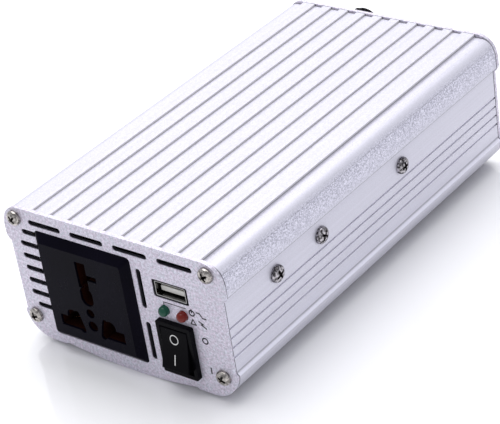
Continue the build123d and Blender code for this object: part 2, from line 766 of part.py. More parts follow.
def switch_wires():
    wires = []
    for z, x in ((SWITCH_Z, 28.0), (SWITCH_Z + 6, 32.0)):
        wires.append(thin_lead((SWITCH_X, SWITCH_DEPTH + 8, z), (x, 38), z + 5, 0.7))
    return group(wires)


def fan_wires():
    """Two leads from the fan's frame forward to the board."""
    wires = []
    for x, z in ((36.0, 38.0), (38.0, 35.5)):
        points = [(33, FAN_FRONT, z), (33, FAN_FRONT - 4, z), (x, 151, z - 6),
                  (x, 145, z - 6), (x, 145, BOARD[1])]
        wires.append(wire(points, 0.6, 1.5))
    return group(wires)


# ---- all parts -----------------------------------------------------------------------------
def build():
    parts = {
        "top_cover": top_cover(), "base_tray": base_tray(),
        "front_plate": front_plate(), "rear_plate": rear_plate(),
        "front_screws": front_screws(), "rear_screws": rear_screws(), "side_screws": side_screws(),
        "socket_body": socket_body(), "socket_back": socket_back(),
        "switch_housing": switch_housing(), "rocker": rocker(), "switch_blades": switch_blades(),
        "usb_shell": usb_shell(), "usb_tongue": usb_tongue(), "usb_contacts": usb_contacts(),
        "front_board": front_board(), "green_lamp": lamp(LED_X[0]), "red_lamp": lamp(LED_X[1]),
        "lamp_leads": lamp_leads(),
        "fan_frame": fan_frame(), "fan_bearing": fan_bearing(), "fan_rotor": fan_rotor(),
        "fan_screws": fan_screws(), "post_bushes": post_bushes(), "post_nuts": post_nuts(),
        "circuit_board": circuit_board(), "transistors": transistors(), "transistor_tabs": transistor_tabs(),
        "transistor_legs": transistor_legs(), "insulator_pads": insulator_pads(),
        "transistor_nuts": transistor_nuts(), "transformer_cores": transformer_cores(),
        "transformer_windings": transformer_windings(), "input_capacitors": input_capacitors(),
        "bus_capacitor": bus_capacitor(), "choke_core": choke_core(), "choke_winding": choke_winding(),
        "fuses": fuses(), "fuse_blades": fuse_blades(), "control_board": control_board(),
        "control_chips": control_chips(), "buzzer": buzzer(),
        "socket_wires": socket_wires(), "switch_wires": switch_wires(), "fan_wires": fan_wires(),
    }
    for name in contact_places():
        parts[name + "_contact"] = socket_contact(name)
    for pole in POST_Z:
        parts[pole + "_base"] = post_base(pole)
        parts[pole + "_stud"] = post_stud(pole)
        parts[pole + "_washer"] = post_washer(pole)
        parts[pole + "_cap"] = post_cap(pole)
        parts[pole + "_lead"] = post_lead(pole)
    return parts


def main():
    parts = build()
    front = min(part.bounding_box().min.Y for part in parts.values())
    shift = -round((front + POST_CAP_END) / 2, 2)
    print("front plate's outer face at Y =", shift)
    os.makedirs("parts", exist_ok=True)
    for name, part in parts.items():
        export_step(Pos(0, shift, 0) * part, f"parts/{name}.step")


main()
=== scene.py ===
import bpy
import bmesh
import json
import math
from mathutils import Matrix, Vector


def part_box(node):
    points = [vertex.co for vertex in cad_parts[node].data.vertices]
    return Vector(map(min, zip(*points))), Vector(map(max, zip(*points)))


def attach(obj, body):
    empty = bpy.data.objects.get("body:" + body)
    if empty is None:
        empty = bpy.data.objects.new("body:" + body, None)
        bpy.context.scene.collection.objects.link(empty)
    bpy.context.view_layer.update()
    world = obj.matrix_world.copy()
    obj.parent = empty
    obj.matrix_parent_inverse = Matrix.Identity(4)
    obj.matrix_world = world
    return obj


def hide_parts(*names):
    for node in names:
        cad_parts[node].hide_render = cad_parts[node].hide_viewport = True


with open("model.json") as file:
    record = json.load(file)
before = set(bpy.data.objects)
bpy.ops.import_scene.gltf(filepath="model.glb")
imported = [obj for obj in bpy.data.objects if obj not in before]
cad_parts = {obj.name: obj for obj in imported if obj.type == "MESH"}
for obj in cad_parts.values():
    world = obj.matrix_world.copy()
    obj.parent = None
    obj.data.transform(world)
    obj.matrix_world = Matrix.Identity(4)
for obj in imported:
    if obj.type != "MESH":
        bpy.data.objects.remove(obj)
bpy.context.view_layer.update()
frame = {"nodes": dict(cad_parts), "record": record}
MM = 0.001


# ---------------------------------------------------------------- places, in mm
def extent(node, corner, axis):
    """A node's lowest (0) or highest (1) coordinate along an axis, in mm."""
    return round(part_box(node)[corner][axis] / MM, 3)


def middle(node, axis):
    return (extent(node, 0, axis) + extent(node, 1, axis)) / 2


FRONT_Y = extent("front_plate", 0, 1)       # front plate's outer face
REAR_Y = extent("rear_plate", 1, 1)         # rear plate's outer face
MIDDLE_Y = (FRONT_Y + REAR_Y) / 2
PLATE = extent("front_plate", 1, 1) - FRONT_Y
RIB_FOOT = extent("top_cover", 1, 2) - 0.9  # floor of the cover's grooves
SOCKET_X, SOCKET_Z = middle("socket_body", 0), middle("socket_body", 2)
SWITCH_X, SWITCH_Z = middle("switch_housing", 0), middle("switch_housing", 2)
ROCKER_PIVOT_Y = FRONT_Y + 1.6
ROCKER_TILT = 10                            # degrees, at rest
ROCKER_FACE = 4.5                           # from the pivot to the middle of the rocker's hollow face
ROCKER_HOLLOW = 0.55                        # how much further its ends stand
ROCKER_HALF_LENGTH = 7.75
FAN_X, FAN_Z = middle("fan_frame", 0), middle("fan_frame", 2)
FAN_SCREW_SPACING = 18.5                    # from the fan's axis, both ways
PLATE_SCREW_X = 42.5
PLATE_SCREW_LOW, PLATE_SCREW_HIGH = 10.85, 51.6
SIDE_SCREW_X, SIDE_SCREW_Z = 46.7, middle("side_screws", 2)
SIDE_SCREW_DEPTHS = (29.2, 55.2, 106.0)     # behind the front face


# ---------------------------------------------------------------- shader nodes
class Graph:
    """A material's node tree. Its helpers take sockets or plain values and give back a socket."""

    def __init__(self, name):
        self.material = bpy.data.materials.new(name)
        self.material.use_nodes = True
        self.tree = self.material.node_tree
        self.tree.nodes.clear()
        output = self.add("ShaderNodeOutputMaterial")
        self.shader = self.add("ShaderNodeBsdfPrincipled")
        self.feed(output.inputs["Surface"], self.shader.outputs["BSDF"])

    def add(self, kind, **values):
        node = self.tree.nodes.new(kind)
        for key, value in values.items():
            setattr(node, key, value)
        return node

    def feed(self, socket, value):
        """Link a socket to another one, or set its value."""
        if isinstance(value, bpy.types.NodeSocket):
            self.tree.links.new(value, socket)
        elif socket.type == "RGBA":
            socket.default_value = tuple(value) + (1,) * (4 - len(value))
        else:
            socket.default_value = value

    def surface(self, colour, roughness, metallic=0.0):
        self.feed(self.shader.inputs["Base Color"], colour)
        self.feed(self.shader.inputs["Roughness"], roughness)
        self.feed(self.shader.inputs["Metallic"], metallic)

    def stretched(self, stretch):
        """The object's own coordinates in metres, scaled along each axis."""
        place = self.add("ShaderNodeTexCoord")
        mapping = self.add("ShaderNodeMapping")
        self.feed(mapping.inputs["Vector"], place.outputs["Object"])
        self.feed(mapping.inputs["Scale"], stretch)
        return mapping.outputs["Vector"]

    def coordinates(self, kind="Object"):
        """X, Y and Z of the place on the object in metres, or of its surface's direction."""
        place = self.add("ShaderNodeTexCoord")
        split = self.add("ShaderNodeSeparateXYZ")
        self.feed(split.inputs[0], place.outputs[kind])
        return split.outputs[0], split.outputs[1], split.outputs[2]

    def noise(self, scale, stretch=(1, 1, 1), detail=4.0, rough=0.55):
        """Noise; the scale counts features per metre."""
        node = self.add("ShaderNodeTexNoise")
        self.feed(node.inputs["Vector"], self.stretched(stretch))
        self.feed(node.inputs["Scale"], scale)
        self.feed(node.inputs["Detail"], detail)
        self.feed(node.inputs["Roughness"], rough)
        return node.outputs["Fac"]

    def spots(self, scale):
        """Cells of random colour; the scale counts cells per metre."""
        node = self.add("ShaderNodeTexVoronoi")
        self.feed(node.inputs["Vector"], self.stretched((1, 1, 1)))
        self.feed(node.inputs["Scale"], scale)
        return node.outputs["Color"]

    def ramp(self, value, low, high, dark=(0, 0, 0), light=(1, 1, 1)):
        """Dark where the value is below low, light where it is above high."""
        node = self.add("ShaderNodeValToRGB")
        for element, position, colour in zip(node.color_ramp.elements, (low, high), (dark, light)):
            element.position = position
            element.color = tuple(colour) + (1,)
        self.feed(node.inputs["Fac"], value)
        return node.outputs["Color"]

    def steps(self, value, low, high, stops):
        """Grey level that follows stops (position from 0 to 1, level) as the value runs low to high."""
        share = self.add("ShaderNodeMapRange")
        self.feed(share.inputs["Value"], value)
        self.feed(share.inputs["From Min"], low)
        self.feed(share.inputs["From Max"], high)
        node = self.add("ShaderNodeValToRGB")
        elements = node.color_ramp.elements
        while len(elements) < len(stops):
            elements.new(0.5)
        for element, (position, level) in zip(elements, stops):
            element.position = position
            element.color = (level, level, level, 1)
        self.feed(node.inputs["Fac"], share.outputs["Result"])
        return node.outputs["Color"]

    def blend(self, factor, first, second, kind="MIX"):
        node = self.add("ShaderNodeMix", data_type="RGBA", blend_type=kind)
        for index, value in ((0, factor), (6, first), (7, second)):
            self.feed(node.inputs[index], value)
        return node.outputs[2]

    def multiply(self, tone, other, strength=1.0):
        return self.blend(strength, tone, other, "MULTIPLY")

    def scaled(self, value, low, high):
        """A number running from low to high as the value runs from 0 to 1."""
        node = self.add("ShaderNodeMapRange")
        self.feed(node.inputs["Value"], value)
        self.feed(node.inputs["To Min"], low)
        self.feed(node.inputs["To Max"], high)
        return node.outputs["Result"]

    def math(self, operation, *values):
        node = self.add("ShaderNodeMath", operation=operation)
        for socket, value in zip(node.inputs, values):
            self.feed(socket, value)
        return node.outputs[0]

    def inside(self, **ranges):
        """1 inside a box, 0 outside; each range is the (middle, half size) along an axis, in mm."""
        places = dict(zip("xyz", self.coordinates()))
        within = [self.math("COMPARE", places[axis], middle * MM, half * MM)
                  for axis, (middle, half) in ranges.items()]
        mask = within[0]
        for other in within[1:]:
            mask = self.math("MULTIPLY", mask, other)
        return mask

    def bump(self, *layers):
        """Relief from (value, strength, depth in mm) layers, each on top of the one before."""
        normal = None
        for value, strength, depth in layers:
            node = self.add("ShaderNodeBump")
            self.feed(node.inputs["Height"], value)
            self.feed(node.inputs["Strength"], strength)
            self.feed(node.inputs["Distance"], depth * MM)
            if normal is not None:
                self.feed(node.inputs["Normal"], normal)
            normal = node.outputs["Normal"]
        self.feed(self.shader.inputs["Normal"], normal)


def shade(colour, factor):
    return tuple(min(1.0, channel * factor) for channel in colour)


# ---------------------------------------------------------------- materials
def metal(name, colour, rough=0.4, metallic=1.0, stretch=(1, 1, 1), grain=9000, depth=0.3, painted_shade_from=None):
    """Metal with drawn or blasted grain, cloudy tone and uneven polish, and painted shade deep inside an
    opening.
    """
    g = Graph(name)
    fine = g.noise(grain, stretch, 3.0, 0.7)
    cloud = g.noise(28, (1, 0.35, 1), 5.0, 0.6)
    tone = g.blend(g.ramp(cloud, 0.3, 0.72), shade(colour, 0.92), shade(colour, 1.04))
    grainy = g.blend(g.ramp(fine, 0.35, 0.7), (0.80, 0.80, 0.82), (1.0, 1.0, 1.0))
    tone = g.multiply(tone, grainy, 0.55)
    # Painted shade: the colour falls to about a third within a millimetre into the opening and to a tenth
    # three millimetres in.
    if painted_shade_from is not None:
        depth_y = g.coordinates()[1]
        painted_depth_shade = g.steps(depth_y, painted_shade_from * MM, (painted_shade_from + 3) * MM,
                        ((0.0, 1.0), (0.25, 0.30), (1.0, 0.10)))
        tone = g.multiply(tone, painted_depth_shade)
    g.surface(tone, g.scaled(cloud, rough - 0.12, rough + 0.12), metallic)
    g.bump((fine, depth, 0.02), (cloud, 0.15, 0.2))
    return g.material


def screw_plating_and_glints(name, colour, dark, light, rough=0.15):
    """Nickel plated screw: uneven plating in patches, whose lighter patches are painted glints."""
    g = Graph(name)
    patches = g.noise(950, (1, 1, 1), 2.0, 0.6)
    fine = g.noise(5000, (1, 1, 1), 3.0, 0.7)
    # Painted glints: the colour runs from darker patches to lighter ones that stand for reflections.
    painted_glints = g.ramp(patches, 0.42, 0.60, shade(colour, dark), shade(colour, light))
    tone = g.multiply(painted_glints, g.ramp(fine, 0.35, 0.7, (0.82, 0.82, 0.82)), 0.6)
    g.surface(tone, g.scaled(patches, rough - 0.08, rough + 0.12), 1.0)
    g.bump((patches, 0.5, 0.08), (fine, 0.25, 0.02))
    return g.material


def groove_walls(g):
    """1 on the steep walls of the grooves in the cover's top, 0 elsewhere: where painted shade and a painted
    highlight go.
    """
    steep = g.math("GREATER_THAN", g.math("ABSOLUTE", g.coordinates("Normal")[0]), 0.35)
    high = g.math("GREATER_THAN", g.coordinates()[2], (RIB_FOOT - 0.2) * MM)
    return g.math("MULTIPLY", steep, high)


def painted_joint_shadow_mask(g):
    """1 on the last tenths of a millimetre of the extrusions, beside the end plates, where the shadow of a
    joint is painted.

    The ribs' tops stay bright at the front end.
    """
    x, y, z = g.coordinates()
    away = g.math("ABSOLUTE", g.math("SUBTRACT", y, MIDDLE_Y * MM))
    last = g.math("GREATER_THAN", away, ((REAR_Y - FRONT_Y) / 2 - PLATE - 0.38) * MM)
    rear = g.math("GREATER_THAN", y, 0.0)
    below_ribs = g.math("LESS_THAN", z, (RIB_FOOT - 0.5) * MM)
    return g.math("MULTIPLY", last, g.math("MAXIMUM", rear, below_ribs))


def tones_by_height(g, tone, grain):
    """Grain, and painted light and shade, that change up the side and over the top.

    From below: painted shade darkening towards the bottom, a painted highlight on the beaded step with
    painted shade above it, a painted shadow under the skirt's lower edge, coarse grain on the blasted
    shoulder, painted shade and a painted highlight on the groove walls, frosted ribs, and painted shade at
    the upper crease and over the top.
    """
    z = g.coordinates()[2]
    shoulder = g.steps(z, 0.038, 0.0545,
                       ((0.0, 0.0), (0.2, 0.1), (0.5, 0.8), (0.8, 1.0), (0.92, 0.1), (1.0, 0.0)))
    coarse = g.ramp(grain, 0.40, 0.60, (0.58, 0.58, 0.63), (1.27, 1.27, 1.28))
    tone = g.multiply(tone, coarse, shoulder)
    # Painted shade on the lower part of each groove wall and a painted highlight on its upper part, with the
    # walls' reflected blue turned to grey.
    wall = groove_walls(g)
    wall_shade_and_highlight = g.steps(z, 0.055, 0.056, ((0.0, 0.60), (0.34, 0.64), (0.42, 1.22), (1.0, 1.15)))
    tone = g.multiply(tone, wall_shade_and_highlight, wall)
    tone = g.multiply(tone, (1.0, 0.99, 0.90), wall)
    # Painted highlight on the beaded step low on the side, a line of painted shade just above it, and
    # painted shade growing towards the bottom.
    bead_light_and_shade = g.steps(z, 0.0, 0.020, ((0.0, 0.66), (0.42, 0.80), (0.57, 0.93), (0.585, 1.25),
                                   (0.615, 1.25), (0.635, 0.60), (0.65, 0.66), (0.665, 1.0)))
    tone = g.multiply(tone, bead_light_and_shade)
    frosted = g.steps(z, 0.0540, 0.0546, ((0.0, 0.0), (1.0, 0.75)))
    frost = g.ramp(grain, 0.38, 0.62, (0.86, 0.855, 0.87), (1.06, 1.06, 1.06))
    tone = g.multiply(tone, frost, frosted)
    # Painted shade: a darker band at the upper crease, and the top toned down against the overhead light.
    painted_top_shade = g.steps(z, 0.050, 0.056, ((0.0, 1.0), (0.24, 1.0), (0.26, 0.80), (0.30, 0.80),
                                      (0.32, 1.0), (0.6, 0.90), (1.0, 0.86)))
    tone = g.multiply(tone, painted_top_shade)
    # Painted shadow: a dark band along the lower edge of the cover's skirt, where it laps over the tray.
    lap_shadow = g.steps(z, 0.040, 0.046, ((0.0, 1.0), (0.44, 1.0), (0.47, 0.52), (0.525, 0.52), (0.55, 1.0)))
    return g.multiply(tone, lap_shadow)


def extrusion(name, colour, rough, metallic):
    """Blasted and anodised extrusion: sparkling grain and faint die lines along Y, with painted shadow at
    the joints, painted light and shade along its height and painted light in the side grooves.
    """
    g = Graph(name)
    fine = g.noise(5200, (1, 0.35, 1), 3.0, 0.7)
    grain = g.noise(2100, (1, 0.7, 1), 3.0, 0.8)
    lines = g.noise(900, (1, 0.004, 1), 3.0, 0.6)
    cloud = g.noise(26, (1, 0.4, 1), 5.0, 0.6)
    tone = g.blend(g.ramp(cloud, 0.3, 0.72), shade(colour, 0.985), shade(colour, 1.015))
    for source, low in ((fine, 0.8), (lines, 0.9), (grain, 0.9)):
        specks = g.ramp(source, 0.32, 0.68, (low, low, low * 1.01), (1.07, 1.07, 1.08))
        tone = g.multiply(tone, specks, 0.4)
    tone = tones_by_height(g, tone, grain)
    # Painted light: the recessed side grooves lightened against the shade that falls in them.
    tone = g.multiply(tone, (1.12, 1.12, 1.08), g.inside(x=(0.0, 46.64), z=(24.5, 6.2)))
    # Painted shadow: the ends beside the end plates darkened as a shaded gap, though the parts meet without
    # one.
    tone = g.multiply(tone, (0.16, 0.155, 0.17), painted_joint_shadow_mask(g))
    g.surface(tone, g.scaled(grain, rough - 0.12, rough + 0.12), metallic)
    g.bump((fine, 0.5, 0.02), (grain, 0.25, 0.06), (lines, 0.15, 0.03))
    return g.material


def plastic(name, colour, rough=0.3, grain=3000, depth=0.15, tint=0.2, coat=0.0, specular=0.5, wear=0.08,
            scatter=0.0, wells=None, well_colour=None):
    """Moulded plastic: fine texture, faint flow marks and handling haze.

    wells is a box of another tone, as Graph.inside takes it.
    """
    g = Graph(name)
    fine = g.noise(grain, (1, 1, 1), 2.0, 0.5)
    cloud = g.noise(70, (1, 1, 0.6), 5.0, 0.6)
    tone = g.blend(g.ramp(cloud, 0.35, 0.75), shade(colour, 1 - tint * 0.5), shade(colour, 1 + tint))
    if wells is not None:
        tone = g.blend(g.inside(**wells), tone, well_colour)
    g.surface(tone, g.scaled(cloud, max(0.03, rough - wear), rough + wear))
    for socket, value in (("Specular IOR Level", specular), ("Coat Weight", coat), ("Coat Roughness", 0.06)):
        g.feed(g.shader.inputs[socket], value)
    if scatter:
        g.feed(g.shader.inputs["Subsurface Weight"], scatter)
        g.feed(g.shader.inputs["Subsurface Scale"], MM)
    g.bump((fine, depth, 0.02), (cloud, 0.1, 0.1))
    return g.material


def speckled_panel(name, colour):
    """End plate: blasted and lacquered sheet with dark and pinkish flecks, and painted shade on the walls of
    its slots.
    """
    g = Graph(name)
    fine = g.noise(4200, (1, 1, 1), 3.0, 0.75)
    grain = g.noise(1050, (1, 1, 1), 3.0, 0.8)
    cloud = g.noise(36, (1, 1, 1), 5.0, 0.6)
    tone = g.blend(g.ramp(fine, 0.30, 0.62), shade(colour, 0.90), shade(colour, 1.06))
    mottle = g.ramp(grain, 0.38, 0.62, (0.66, 0.66, 0.68), (1.18, 1.18, 1.18))
    hue = g.ramp(g.spots(1100), 0.2, 0.9, (1.0, 0.93, 0.97), (0.96, 1.0, 1.0))
    tone = g.multiply(tone, mottle, 0.85)
    tone = g.multiply(tone, hue, 0.9)
    behind_face = (REAR_Y - FRONT_Y) / 2 - 0.32
    # Painted shade: everything more than a third of a millimetre behind a plate's outer face, the walls of
    # its slots, darkened to a tenth.
    painted_slot_shade = g.inside(x=(0.0, 44.5), y=(MIDDLE_Y, behind_face), z=(29.5, 24.0))
    tone = g.multiply(tone, (0.10, 0.10, 0.11), painted_slot_shade)
    g.surface(tone, g.scaled(cloud, 0.36, 0.56), 0.4)
    g.bump((fine, 0.5, 0.03), (grain, 0.4, 0.06))
    return g.material


def circuit(name, colour):
    """Solder mask with a pattern of tracks under it."""
    g = Graph(name)
    tracks = g.add("ShaderNodeTexBrick")
    for socket, value in (("Vector", g.stretched((1, 1, 1))), ("Scale", 220), ("Mortar Size", 0.012),
                          ("Color1", colour), ("Color2", shade(colour, 1.35)),
                          ("Mortar", shade(colour, 0.6))):
        g.feed(tracks.inputs[socket], value)
    cloud = g.noise(90)
    g.surface(tracks.outputs["Color"], g.scaled(cloud, 0.2, 0.4))
    g.bump((tracks.outputs["Fac"], 0.3, 0.04), (cloud, 0.1, 0.1))
    return g.material


GLOSS = {"rough": 0.26, "grain": 1800, "depth": 0.06, "tint": 0.4, "specular": 0.035}
LAMP = {"rough": 0.10, "grain": 1200, "depth": 0.02, "tint": 0.3, "specular": 0.3, "wear": 0.03,
        "scatter": 0.05}
WIRE = {"rough": 0.42, "grain": 2500, "depth": 0.2}
MATERIALS = {
    "anodised_aluminium": extrusion("anodised_aluminium", (0.745, 0.735, 0.815), 0.48, 0.4),
    "panel_grey": speckled_panel("panel_grey", (0.70, 0.68, 0.76)),
    "screw_steel": screw_plating_and_glints("screw_steel", (0.38, 0.355, 0.33), 0.62, 1.6),
    "black_gloss": plastic("black_gloss", (0.0025, 0.0023, 0.0035), **GLOSS),
    "black_matte": plastic("black_matte", (0.022, 0.022, 0.024), rough=0.5, grain=2600, depth=0.4),
    "red_plastic": plastic("red_plastic", (0.28, 0.006, 0.006), rough=0.24, grain=1800, depth=0.06,
                           coat=0.2, specular=0.35),
    "white_plastic": plastic("white_plastic", (0.74, 0.72, 0.68), rough=0.4, grain=2600, depth=0.1,
                             tint=0.06),
    # The USB shell, with painted shade deep inside its mouth.
    "shell_steel": metal("shell_steel", (0.70, 0.69, 0.68), rough=0.22, stretch=(1, 0.1, 1), grain=3000,
                         depth=0.15, painted_shade_from=FRONT_Y - 0.3),
    "contact_brass": metal("contact_brass", (0.66, 0.34, 0.18), rough=0.32, stretch=(0.2, 0.2, 1),
                           grain=3000, depth=0.25),
    "plated_brass": metal("plated_brass", (0.70, 0.64, 0.52), rough=0.28, grain=3000, depth=0.2),
    "lamp_green": plastic("lamp_green", (0.008, 0.075, 0.045), **LAMP),
    "lamp_red": plastic("lamp_red", (0.14, 0.008, 0.004), **LAMP),
    "board_green": circuit("board_green", (0.012, 0.10, 0.035)),
    "chip_black": plastic("chip_black", (0.02, 0.02, 0.022), rough=0.55, grain=4000, depth=0.4),
    "tinned_metal": metal("tinned_metal", (0.62, 0.62, 0.62), rough=0.35),
    "pad_grey": plastic("pad_grey", (0.42, 0.43, 0.43), rough=0.75, depth=0.5),
    "ferrite": plastic("ferrite", (0.035, 0.035, 0.038), rough=0.6, grain=5000, depth=0.7),
    "tape_yellow": plastic("tape_yellow", (0.70, 0.42, 0.02), rough=0.25, grain=600, depth=0.3, tint=0.15,
                           coat=0.3),
    "sleeve_black": plastic("sleeve_black", (0.012, 0.014, 0.028), rough=0.25, grain=900, depth=0.2,
                            coat=0.3),
    "enamel_copper": metal("enamel_copper", (0.60, 0.22, 0.08), rough=0.3, metallic=0.9),
    "fuse_amber": plastic("fuse_amber", (0.65, 0.28, 0.02), rough=0.2, grain=1500, depth=0.05, tint=0.1,
                          coat=0.4, wear=0.05, scatter=0.2),
    "wire_black": plastic("wire_black", (0.015, 0.015, 0.015), rough=0.45, grain=2500, depth=0.2),
    "wire_red": plastic("wire_red", (0.45, 0.02, 0.015), **WIRE),
    "wire_blue": plastic("wire_blue", (0.03, 0.08, 0.35), **WIRE),
}
PIN_WELLS = {"x": (SOCKET_X, 16.5), "y": (FRONT_Y + 8.3, 10.0), "z": (SOCKET_Z, 16.5)}
SOCKET_BLACK = plastic("socket_black", (0.0025, 0.0020, 0.0060), wells=PIN_WELLS,
                       well_colour=(0.020, 0.0055, 0.0035), **GLOSS)
# Painted shade and glints: a darker copy of the screw steel, with brighter painted glints, standing for the
# dark reflections of the side screws.
SHADED_SCREW_STEEL = screw_plating_and_glints("shaded_screw_steel", (0.20, 0.19, 0.20), 0.28, 2.9)
BLACK_INK = plastic("print_ink", (0.045, 0.042, 0.05), rough=0.55, grain=6000, depth=0.2)
WHITE_INK = plastic("white_ink", (0.80, 0.80, 0.78), rough=0.45, grain=5000, depth=0.15, tint=0.04)


# ---------------------------------------------------------------- CAD nodes
EDGE_RADII = {              # mm
    "top_cover": 0.18, "base_tray": 0.18, "front_plate": 0.16, "rear_plate": 0.16, "socket_body": 0.2,
    "switch_housing": 0.2, "rocker": 0.3, "usb_shell": 0.06, "usb_tongue": 0.1,
    "negative_base": 0.2, "positive_base": 0.2, "negative_cap": 0.15, "positive_cap": 0.15,
    "fan_frame": 0.3, "live_contact": 0.08, "neutral_contact": 0.08, "earth_contact": 0.08,
}


def add_bevel(obj, width, angle):
    bevel = obj.modifiers.new("edges", "BEVEL")
    bevel.width = width * MM
    bevel.limit_method = "ANGLE"
    bevel.angle_limit = math.radians(angle)
    bevel.segments = 2
    bevel.use_clamp_overlap = True


def add_weighted_normals(obj):
    normals = obj.modifiers.new("normals", "WEIGHTED_NORMAL")
    normals.keep_sharp = False


def soften(obj, radius):
    """Round the sharp edges of a CAD node as the real part's are."""
    weld = obj.modifiers.new("weld", "WELD")
    weld.merge_threshold = 2e-6
    flat = obj.modifiers.new("flat", "DECIMATE")
    flat.decimate_type = "DISSOLVE"
    flat.angle_limit = math.radians(0.4)
    add_bevel(obj, radius, 33)
    add_weighted_normals(obj)


def dress_nodes():
    """Give every CAD node its material, and rounded edges where they show."""
    for entry in frame["record"]["subparts"]:
        name = entry["node"]
        node = frame["nodes"][name]
        node.data.materials.clear()
        node.data.materials.append(MATERIALS[entry["material_slot"]])
        if name in EDGE_RADII:
            soften(node, EDGE_RADII[name])
    frame["nodes"]["socket_body"].data.materials[0] = SOCKET_BLACK


# ---------------------------------------------------------------- mesh helpers
def new_object(name, mesh, material):
    obj = bpy.data.objects.new(name, mesh)
    bpy.context.scene.collection.objects.link(obj)
    mesh.materials.clear()
    mesh.materials.append(material)
    return obj


def mesh_from(name, bm, smooth=True):
    mesh = bpy.data.meshes.new(name)
    bm.to_mesh(mesh)
    bm.free()
    for face in mesh.polygons:
        face.use_smooth = smooth
    return mesh


def merge(target, source, matrix):
    """Add a moved copy of one bmesh to another, and free the first."""
    mesh = bpy.data.meshes.new("merged")
    source.to_mesh(mesh)
    source.free()
    mesh.transform(matrix)
    target.from_mesh(mesh)
    bpy.data.meshes.remove(mesh)


def lathe(profile, steps):
    """Closed solid of revolution about Z from (radius, z) points, in mm."""
    bm = bmesh.new()
    rings = []
    for radius, z in profile:
        if radius < 1e-6:
            rings.append([bm.verts.new((0, 0, z * MM))])
            continue
        angles = [2 * math.pi * index / steps for index in range(steps)]
        rings.append([bm.verts.new((radius * MM * math.cos(a), radius * MM * math.sin(a), z * MM))
                      for a in angles])
    for low, high in zip(rings, rings[1:]):
        for index in range(steps):
            after = (index + 1) % steps
            corners = [low[index % len(low)], low[after % len(low)],
                       high[after % len(high)], high[index % len(high)]]
            corners = list(dict.fromkeys(corners))
            if len(corners) > 2:
                bm.faces.new(corners)
    bmesh.ops.recalc_face_normals(bm, faces=bm.faces)
    return bm


def prism(bm, outline, place, bottom, top):
    """Prism over a flat outline; bottom and top give the height at (x, y), all in mm."""
    low = [bm.verts.new(place @ Vector((x * MM, y * MM, bottom(x, y) * MM))) for x, y in outline]
    high = [bm.verts.new(place @ Vector((x * MM, y * MM, top(x, y) * MM))) for x, y in outline]
    bm.faces.new(list(reversed(low)))
    bm.faces.new(high)
    for index in range(len(outline)):
        after = (index + 1) % len(outline)
        bm.faces.new([low[index], low[after], high[after], high[index]])


# ---------------------------------------------------------------- screws
SHANK_RADIUS = 1.45
THREAD_DEPTH = 0.28
THREAD_PITCH = 0.55


def screw_profile(radius, height, shank):
    """Half section of a pan head screw from the top of its head to the end of its ringed shank."""
    dome = []
    for index in range(9):
        angle = math.radians(90 - index * 8.5)
        dome.append((radius * math.cos(angle) * 0.98, height * (0.42 + 0.58 * math.sin(angle))))
    rim = [(radius * 0.985, height * 0.42), (radius, height * 0.3), (radius, height * 0.05),
           (radius * 0.97, 0.0), (SHANK_RADIUS, 0.0)]
    threads = []
    z = -0.6
    while z > 0.8 - shank:
        threads += [(SHANK_RADIUS, z), (SHANK_RADIUS - THREAD_DEPTH, z - 0.2), (SHANK_RADIUS, z - 0.4)]
        z -= THREAD_PITCH
    tip = [(SHANK_RADIUS, 0.4 - shank), (SHANK_RADIUS - 0.4, -shank), (0.0, -shank)]
    return dome + rim + threads + tip


def cross_cutter(radius, height):
    """Two tapered blades and a pit in the middle, which sink the cross into a screw's head."""
    cutter = bmesh.new()
    for turn in (0, 90):
        blade = bmesh.new()
        bmesh.ops.create_cube(blade, size=1.0)
        for vert in blade.verts:
            at_top = vert.co.z > 0
            length = radius * (0.66 if at_top else 0.30) * MM
            width = radius * (0.155 if at_top else 0.10) * MM
            vert.co.x = math.copysign(length, vert.co.x)
            vert.co.y = math.copysign(width, vert.co.y)
            vert.co.z = height * (1.12 if at_top else 0.22) * MM
        merge(cutter, blade, Matrix.Rotation(math.radians(turn), 4, "Z"))
    pit = lathe([(0.0, height * 0.12), (radius * 0.12, height * 0.2), (radius * 0.30, height * 1.2),
                 (0.0, height * 1.2)], 16)
    merge(cutter, pit, Matrix.Identity(4))
    return cutter


def cross_head(radius, height, shank):
    """Mesh of a screw along +Z, with the underside of its head at Z = 0."""
    blank = lathe(screw_profile(radius, height, shank), 40)
    body = new_object("screw_blank", mesh_from("screw_blank", blank), SHADED_SCREW_STEEL)
    cutter_mesh = mesh_from("cross_cutter", cross_cutter(radius, height), False)
    cutter = new_object("cross_cutter", cutter_mesh, SHADED_SCREW_STEEL)
    cut = body.modifiers.new("cut", "BOOLEAN")
    cut.operation = "DIFFERENCE"
    cut.solver = "EXACT"
    cut.use_self = True
    cut.object = cutter
    add_bevel(body, 0.05, 40)
    add_weighted_normals(body)
    graph = bpy.context.evaluated_depsgraph_get()
    mesh = bpy.data.meshes.new_from_object(body.evaluated_get(graph))
    bpy.data.objects.remove(body)
    bpy.data.objects.remove(cutter)
    return mesh


FACING = {
    "front": Matrix.Rotation(math.radians(90), 4, "X"),
    "rear": Matrix.Rotation(math.radians(-90), 4, "X"),
    "right": Matrix.Rotation(math.radians(90), 4, "Y"),
    "left": Matrix.Rotation(math.radians(-90), 4, "Y"),
}


def at(x, y, z, turn=0.0, facing="front"):
    """Matrix that turns something built along +Z about itself and outward, and moves it to a place in mm."""
    place = Matrix.Translation(Vector((x, y, z)) * MM)
    return place @ FACING[facing] @ Matrix.Rotation(math.radians(turn), 4, "Z")


